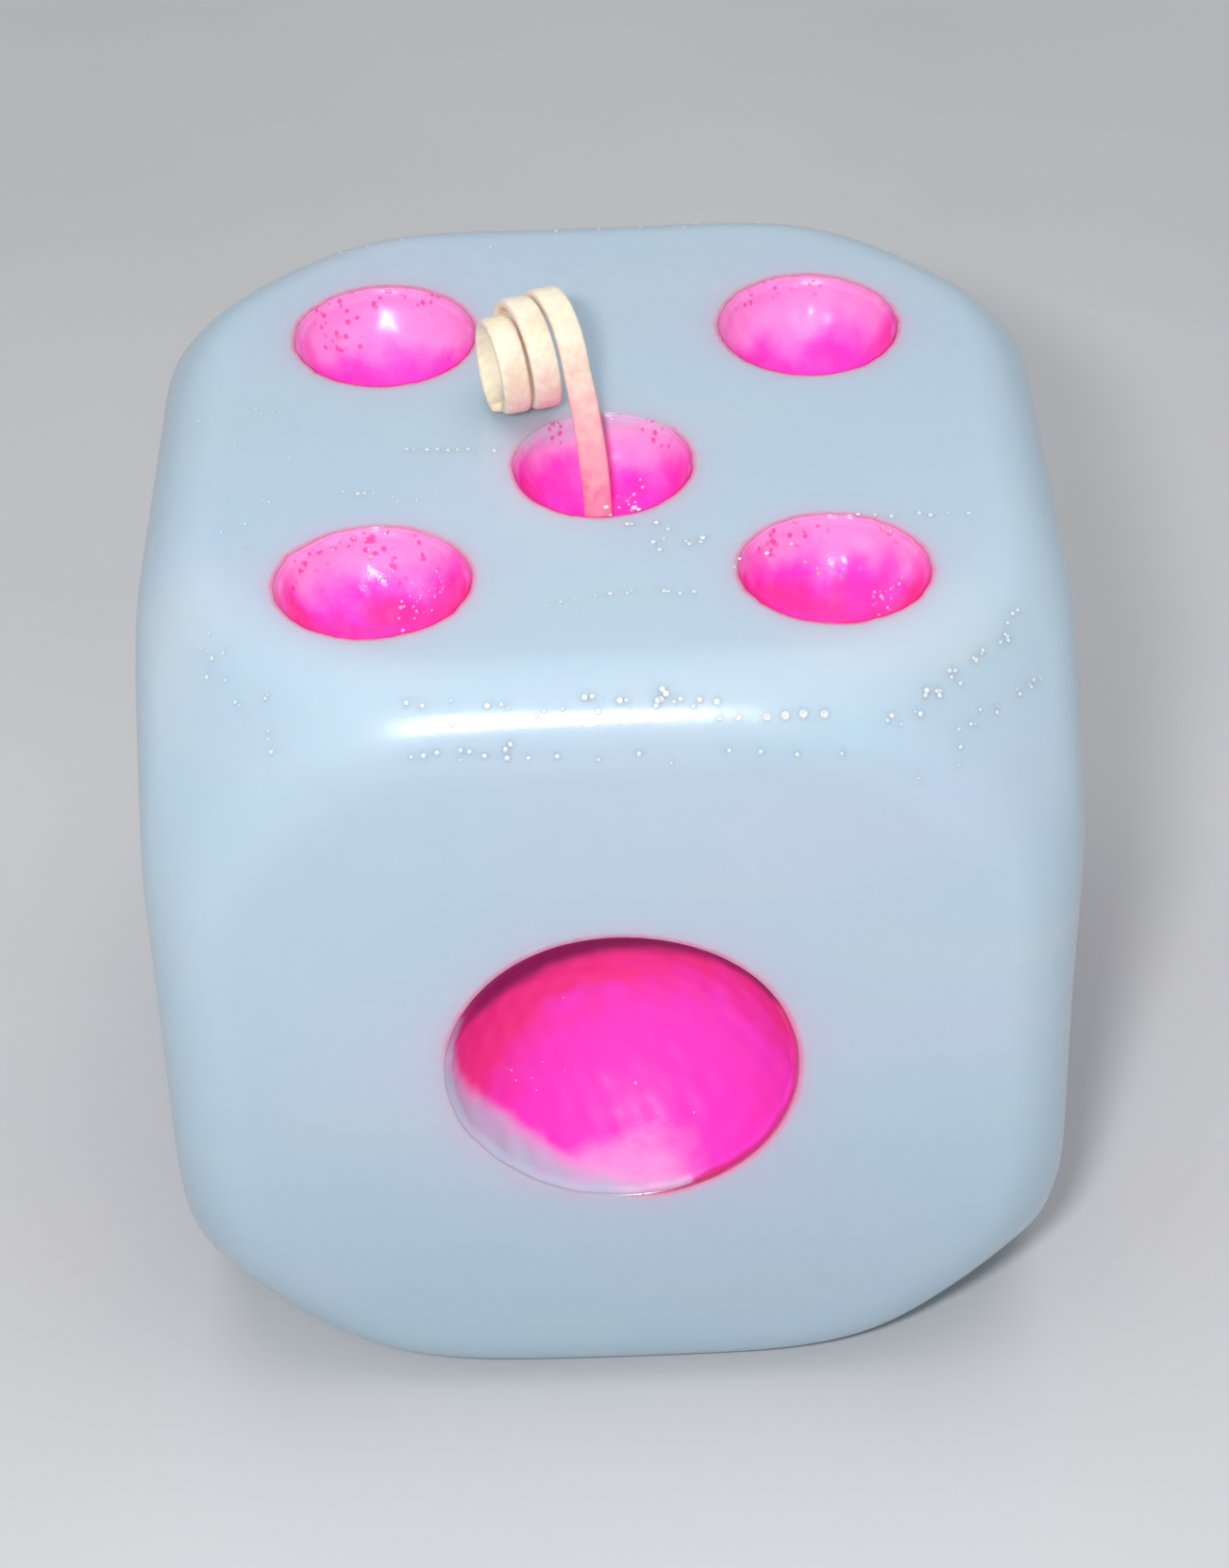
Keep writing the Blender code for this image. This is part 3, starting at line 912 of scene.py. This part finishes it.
# Where the painted sheen on the far wall of the small pips on top ends, and how that line tilts, by
# number.
SHEEN_EDGES = {1: (-0.0016, -0.05), 2: (0.0, 0.05), 3: (-0.0002, -0.10), 4: (-0.0010, -0.12),
              5: (-0.0002, 0.05)}


def far_bump(angle, middle, width):
    """1 at that direction, in degrees, fading to 0 over that width."""
    away = np.angle(np.exp(1j * (angle - math.radians(middle))))
    return np.exp(-(away / math.radians(width)) ** 2)


def spot(hole, place, where, size):
    """1 at a point given by direction in degrees and depth from the rim, fading over size."""
    turn, deep = where
    radius = hole.shape.at(deep + hole.shape.rim)[0]
    turn = math.radians(turn)
    away = place - radius * np.array((math.cos(turn), math.sin(turn)))[:, None]
    return np.exp(-(away ** 2).sum(axis=0) / size ** 2)


def film_looks(face, hole, angle, depth):
    """The film's colour marks, painted sheen and shade among them, at points given by direction and
    arc length from the rim.
    """
    looks = {label: np.zeros_like(angle) for label in FILM_QUALITIES}
    settled = smoothstep(hole.shape.whole, 0.55 * hole.shape.whole, depth)
    wave = ripple(angle, hole.seed + 11, (2, 3, 5, 8), 0.0006) * settled
    radius = np.maximum(hole.shape.at(depth + hole.shape.rim)[0], 0)
    place = np.stack([radius * np.cos(angle), radius * np.sin(angle)])
    across, along = place
    cloud = lumps(np.stack([across, along, 0 * angle], axis=1), hole.seed + 71, 0.0040, 8)
    bare = bare_edge(face, hole, angle)
    soft = 0.0050 if face == "front" else 0.0030
    missing = np.where(bare > 0.0002, smoothstep(bare + soft / 2, bare - soft / 2, depth), 0.0)
    cover = 1 - missing * (1.0 if face == "front" else 0.62)

    def fringe(strength, towards, width, low, high):
        """Strongest in that direction at the rim, fading down the wall."""
        return strength * far_bump(angle, towards, width) * smoothstep(low, high, depth)

    if face == "front":
        # painted shade, partly deeper dye: redder on the upper wall, which faces down, and on the
        # sides
        looks["shade_and_deep_dye"] = np.clip(
            0.95 * smoothstep(-0.0060, 0.0060, along - 0.25 * across + 0.001 * cloud)
            + 0.55 * smoothstep(-0.0050, -0.0130, across - 0.2 * along + 0.001 * cloud)
            + 0.30 * smoothstep(0.0080, 0.0140, across), 0, 1.0)
        # painted sheen on the lowest wall, which faces up, joined with paler film where it is missing
        lowest = smoothstep(-0.0098, -0.0136, along - 0.06 * across + 0.0003 * cloud)
        looks["pale"] = np.maximum(
            0.85 * lowest * smoothstep(0.0095, 0.0020, across), 0.75 * smoothstep(0.0, 0.5, missing))
        looks["flaky"] = 0.9 * spot(hole, place, (278, 0.0021), 0.0022)
        looks["matt"] += 0.30
        upper = along - 0.16 * across + 0.0002 * cloud
        looks["shade"] = smoothstep(0.0036, 0.0062, upper) * smoothstep(-0.0150, -0.0110, across)
    else:
        # painted sheen: paler on the far wall, which faces the light
        slant = 0.57 * along + 0.82 * hole.shape.at(depth + hole.shape.rim)[1]
        edge, tilt = SHEEN_EDGES.get(hole.number, (0.0, 0.0))
        line = slant + tilt * across + 0.0006 * cloud
        looks["pale"] = 0.12 + 0.84 * smoothstep(edge - 0.0022, edge + 0.0030, line)
        warm = 0.56 if face == "top" and hole.number in (2, 3) else 0.25
        # painted shade, partly deeper dye: redder below the sheen line and towards the near sides
        looks["shade_and_deep_dye"] = (
            warm * smoothstep(edge + 0.0004, edge - 0.0026, line)
            + 0.30 * smoothstep(0.0045, 0.0072, np.abs(across)) * smoothstep(0.0040, 0.0, along))
        scatter = fringe(0.36, 125, 50, 0.0042, 0.0008)
        if face == "top" and hole.number == 3:
            ring = np.exp(-((depth - 0.0018 - 1.2 * wave) / 0.0009) ** 2)
            scatter = np.maximum(
                1.4 * ring * far_bump(angle, 108, 60), 1.1 * spot(hole, place, (72, 0.0020), 0.0013))
            looks["flaky"] = 0.55 * spot(hole, place, (88, 0.0040), 0.0016)
        elif face == "top" and hole.number == 1:
            looks["matt"] += 0.08
            scatter = np.maximum(scatter, 0.60 * spot(hole, place, (130, 0.0018), 0.0028))
            scatter = np.maximum(scatter, fringe(0.42, 90, 60, 0.0030, 0.0010))
        elif face == "top" and hole.number == 5:
            scatter = np.maximum(spot(hole, place, (122, 0.0010), 0.0007), 0.45 * scatter)
            scatter = np.maximum(scatter, fringe(0.55, 60, 30, 0.0028, 0.0010))
        elif face == "top" and hole.number == 2:
            looks["flaky"] = 0.35 * spot(hole, place, (90, 0.0042), 0.0015)
            scatter *= 1.1
        elif face == "top" and hole.number == 4:
            looks["matt"] += 0.12
            scatter *= 0.9
        looks["pitting"] = scatter
        looks["matt"] += 0.02
    # painted shade, partly pooled dye: a dark line along the film's edge, strongest on the near side
    rim_line = 0.00024 * (1 + ripple(angle, hole.seed + 21, (3, 7, 12, 19), 0.6))
    near = 0.12 + 0.88 * far_bump(angle, 285, 88)
    looks["rim_shade_and_dye"] = 0.9 * smoothstep(rim_line + 0.0002, rim_line, depth) * near * cover
    looks["cover"] = cover
    return looks


def add_film(face, hole):
    shape, around, middle = hole.shape, hole.shape.around, hole.middle
    angle = full_turn(around)
    stray = outline(hole, angle)
    edge = shape.rim * (0.95 + ripple(angle, hole.seed + 31, (4, 9, 15, 22), 0.12))
    rings, looks = [], []

    def add_ring(lengths, lift):
        radius, height = shape.at(lengths, lift)
        reach = shape.strayed(radius, stray)
        rings.append(np.stack([
            middle[0] + reach * np.cos(angle), middle[1] + reach * np.sin(angle), height], axis=1))
        looks.append(film_looks(face, hole, angle, lengths - edge))

    for share in np.linspace(0, 1, shape.rings)[:-1] ** 1.15:
        lengths = edge + (shape.whole - edge) * share
        taper = smoothstep(0.0, 0.0007, lengths - edge)
        settled = smoothstep(shape.whole, 0.8 * shape.whole, lengths)
        radius, height = shape.at(lengths)
        place = np.stack([radius * np.cos(angle), radius * np.sin(angle), height], axis=1)
        uneven = 1 + 0.14 * taper * settled * lumps(place, hole.seed + 41, 0.0026, 10)
        add_ring(lengths, FILM_LIFT + FILM_THICKNESS * (0.12 + 0.88 * taper) * uneven)
    front = len(rings)
    for share in np.linspace(0, 1, FILM_BACK_RINGS)[:-1]:
        add_ring(edge + (shape.whole - edge) * share, FILM_LIFT)
    floor_height = float(shape.at(shape.whole)[1]) + FILM_LIFT
    points = np.concatenate([*rings, np.array([
        (middle[0], middle[1], floor_height + FILM_THICKNESS),
        (middle[0], middle[1], floor_height)])])
    faces = []
    for lower in range(len(rings) - 1):
        if lower != front - 1:
            faces.extend(strip(lower, lower + 1, around))
    faces.extend(strip(0, front, around))
    total = len(rings) * around
    for step in range(around):
        after = (step + 1) % around
        inner, outer = (front - 1) * around, (len(rings) - 1) * around
        faces.append((inner + step, inner + after, total))
        faces.append((outer + step, outer + after, total + 1))
    floats = {}
    for label in looks[0]:
        column = np.concatenate([ring[label] for ring in looks])
        pole = column[(front - 1) * around:front * around].mean()
        floats[label] = np.concatenate([column, (pole, pole)])
    make_piece(
        f"pip_film_{face}_{hole.number}", cast_warp(to_row_frame(face, points)), faces, FILM,
        (f"pip_lining_{face}_{hole.number}",), floats)


add_wax_block()
for face_name in FACES:
    for pip in hollows(face_name):
        add_film(face_name, pip)


# ---- droplets and bubbles

def block_normal(point):
    """The block's outward direction at a surface point, in the row frame."""
    step = 1e-5
    base = np.array(point) - CENTRE
    probes = np.concatenate([base + step * np.eye(3), base - step * np.eye(3)])
    depth = depth_outside(probes)
    way = depth[:3] - depth[3:]
    return way / np.linalg.norm(way)


def on_block(point):
    way = np.array(point) - CENTRE
    way = way / np.linalg.norm(way)
    return die_surface(way[None, :])[0] + CENTRE


def turned_about(normal, place, profile, around):
    """Points and faces of a small shape turned about a normal; the profile ends on its axis."""
    side = np.cross(normal, (0.3, 0.5, 0.81))
    side /= np.linalg.norm(side)
    other = np.cross(normal, side)
    turn = full_turn(around)
    points = [
        place + radius * (math.cos(t) * side + math.sin(t) * other) + height * normal
        for radius, height in profile[:-1] for t in turn]
    points.append(place + profile[-1][1] * normal)
    faces = []
    for ring in range(len(profile) - 2):
        faces.extend(strip(ring, ring + 1, around))
    last = (len(profile) - 2) * around
    for step in range(around):
        faces.append((last + step, last + (step + 1) % around, last + around))
    faces.append(tuple(range(around)))
    return points, faces


def dome(radius, tall=0.5):
    """A droplet that stands on the surface, its foot a little under it."""
    turns = np.linspace(-0.35, math.pi / 2, 6)
    side = [(radius * math.cos(t), radius * tall * math.sin(t)) for t in turns[:-1]]
    return side + [(0, radius * tall)]


def burst_bubble(radius):
    """A burst bubble: a raised ring round a small dimple."""
    return [(1.25 * radius, -0.3 * radius), (1.12 * radius, 0.12 * radius),
            (0.95 * radius, 0.30 * radius), (0.75 * radius, 0.22 * radius),
            (0.55 * radius, 0.04 * radius), (0.0, 0.0)]


class Drops:
    """Many small turned shapes gathered into one piece."""

    def __init__(self):
        self.points, self.faces = [], []

    def add(self, place, normal, profile, around=10):
        points, faces = turned_about(np.array(normal), np.array(place), profile, around)
        first = len(self.points)
        self.points.extend(points)
        self.faces.extend(tuple(v + first for v in corners) for corners in faces)

    def finish(self, name, material):
        make_piece(name, cast_warp(np.array(self.points)), self.faces, material)


# Rows of droplets on the block: the row's ends and how far its middle sags, its number of
# droplets, their least and largest radius, and how far they stray.
DROPLET_ROWS = (
    ((-0.0160, -0.0026, 0.075), (-0.0088, -0.0030, 0.075), 0.0002, 9, 0.00009, 0.00017, 0.0001),
    ((-0.0208, -0.0082, 0.075), (-0.0155, -0.0100, 0.075), 0.0002, 7, 0.00008, 0.00016, 0.0003),
    ((-0.0045, -0.0250, 0.075), (0.0072, -0.0240, 0.075), 0.0010, 13, 0.00008, 0.00016, 0.00012),
    ((0.0205, -0.0137, 0.075), (0.0292, -0.0135, 0.075), -0.0003, 7, 0.00009, 0.00018, 0.0002),
    ((0.0100, -0.0205, 0.075), (0.0150, -0.0180, 0.075), 0.0, 4, 0.00009, 0.00016, 0.0003),
    ((0.0015, -0.0125, 0.075), (0.0075, -0.0180, 0.075), 0.0, 15, 0.00009, 0.00020, 0.0014),
    ((-0.0325, 0.0010, 0.074), (-0.0255, 0.0040, 0.075), 0.0, 16, 0.00006, 0.00012, 0.0014),
    ((-0.0300, -0.0160, 0.075), (-0.0275, -0.0060, 0.075), 0.0, 8, 0.00006, 0.00012, 0.0016),
    ((-0.0146, -0.0353, 0.0733), (0.0045, -0.0354, 0.0733), 0.0, 17, 0.00010, 0.00022, 0.0005),
    ((0.0030, -0.0351, 0.0735), (0.0078, -0.0356, 0.0730), 0.0, 8, 0.00012, 0.00024, 0.0004),
    ((-0.0147, -0.0372, 0.0704), (-0.0060, -0.0373, 0.0704), 0.0, 11, 0.00010, 0.00019, 0.0003),
    ((-0.0040, -0.0373, 0.0700), (0.0170, -0.0374, 0.0695), 0.0, 8, 0.00009, 0.00017, 0.0005),
    ((0.0218, -0.0358, 0.0707), (0.0323, -0.0244, 0.0726), 0.0, 26, 0.00009, 0.00019, 0.0006),
    ((0.0245, -0.0362, 0.0675), (0.0340, -0.0265, 0.0690), 0.0, 15, 0.00008, 0.00015, 0.0009),
    ((-0.0313, -0.0252, 0.0729), (-0.0249, -0.0352, 0.0693), 0.0, 15, 0.00008, 0.00015, 0.0010),
    ((-0.0250, 0.0300, 0.0720), (0.0240, 0.0310, 0.0720), 0.0, 16, 0.00007, 0.00014, 0.0012),
)


def add_droplets():
    draw = np.random.default_rng(31)
    drops = Drops()
    for start, end, sag, count, least, most, stray in DROPLET_ROWS:
        for share in np.linspace(0, 1, count) + draw.uniform(-0.3, 0.3, count) / count:
            place = (1 - share) * np.array(start) + share * np.array(end)
            place[1] += sag * math.sin(math.pi * share)
            place = on_block(place + draw.normal(0, stray, 3) * (1, 1, 0.4))
            drops.add(place, block_normal(place), dome(1.35 * draw.uniform(least, most)))
    for place_x in (0.0084, 0.0098, 0.0121, 0.0135, 0.0149, 0.0166):
        place = on_block((place_x, -0.0362 + draw.normal(0, 0.0001), 0.0724))
        drops.add(place, block_normal(place), burst_bubble(draw.uniform(0.00026, 0.00034)), 18)
    for _ in range(260):
        way = draw.normal(size=3)
        place = on_block(CENTRE + way)
        local = place - CENTRE
        if np.sum(np.abs(local) > 0.028) < 2 or local[2] < -0.030:
            continue
        drops.add(place, block_normal(place), dome(draw.uniform(0.00005, 0.00011)), 8)
    drops.finish("wax_droplets", BEAD)


# Bubbles in the film: face, pip, direction in degrees and depth of the patch's middle, its
# spread, number, and least and largest radius.
BUBBLE_PATCHES = (
    ("top", 3, 50, 0.0064, 0.0012, 16, 0.00010, 0.00020),
    ("top", 3, 36, 0.0040, 0.0012, 14, 0.00007, 0.00014),
    ("top", 2, 30, 0.0056, 0.0009, 20, 0.00009, 0.00018),
    ("top", 2, 102, 0.0040, 0.0006, 3, 0.00018, 0.00026),
    ("top", 2, 48, 0.0004, 0.0006, 4, 0.00020, 0.00036),
    ("top", 3, 105, 0.0002, 0.0016, 9, 0.00010, 0.00024),
    ("top", 4, 85, 0.0003, 0.0014, 8, 0.00010, 0.00022),
    ("top", 5, 50, 0.0072, 0.0009, 16, 0.00009, 0.00018),
    ("top", 1, 95, 0.0003, 0.0015, 4, 0.00008, 0.00016),
    ("front", 1, 215, 0.0088, 0.0022, 11, 0.00006, 0.00013),
    ("front", 1, 277, 0.0096, 0.0001, 1, 0.00015, 0.00018),
    ("front", 1, 302, 0.0058, 0.0001, 1, 0.00015, 0.00018),
)


def add_bubbles():
    draw = np.random.default_rng(77)
    drops = Drops()
    for face, number, turn, deep, spread, count, least, most in BUBBLE_PATCHES:
        hole = next(found for found in hollows(face) if found.number == number)
        shape = hole.shape
        for _ in range(count):
            depth = abs(deep + draw.normal(0, spread)) + shape.rim
            centre = max(shape.at(depth)[0], 0.001)
            angle = np.array([math.radians(turn) + draw.normal(0, spread) / centre])
            stray = outline(hole, angle)[0]
            spots = []
            for lift in (FILM_LIFT + FILM_THICKNESS, 0.001):
                radius, height = shape.at(depth, lift)
                reach = shape.strayed(radius, stray)
                flat = (hole.middle[0] + reach * math.cos(angle[0]),
                        hole.middle[1] + reach * math.sin(angle[0]), float(height))
                spots.append(to_row_frame(face, np.array([flat]))[0])
            way = spots[1] - spots[0]
            drops.add(spots[0], way / np.linalg.norm(way), dome(draw.uniform(least, most), 0.6), 12)
    drops.finish("film_bubbles", BUBBLE)


add_droplets()
add_bubbles()


# ---- stage, light

FLOOR_REACH = 4.0
WORLD_COLOUR = (0.86, 0.89, 0.93, 1.0)
WORLD_STRENGTH = 0.38


def add_floor():
    mesh = bpy.data.meshes.new("floor")
    corners = [(x * FLOOR_REACH, y * FLOOR_REACH, 0) for x, y in ((-1, -1), (1, -1), (1, 1), (-1, 1))]
    mesh.from_pydata(corners, [], [(0, 1, 2, 3)])
    mesh.materials.append(floor_material())
    floor = new_object("floor", mesh)


def add_area(name, place, aim, wide, tall, power, mirrored=True):
    data = bpy.data.lights.new(name, "AREA")
    data.shape = "ELLIPSE"
    data.size = wide
    data.size_y = tall
    data.energy = power
    light = new_object(name, data)
    light.visible_glossy = mirrored
    light.matrix_world = looking(place, aim)


add_floor()
add_area("key", (-0.035, -0.267, 0.268), (0, 0, 0.045), 0.040, 0.016, 0.71)
add_area("overhead", (0.04, 0.04, 0.90), (0, 0, 0.04), 0.9, 0.9, 3.3, mirrored=False)

world = bpy.data.worlds.new("studio")
world.use_nodes = True
background = world.node_tree.nodes["Background"]
background.inputs["Color"].default_value = WORLD_COLOUR
background.inputs["Strength"].default_value = WORLD_STRENGTH
bpy.context.scene.world = world
bpy.context.scene.view_settings.view_transform = "Standard"
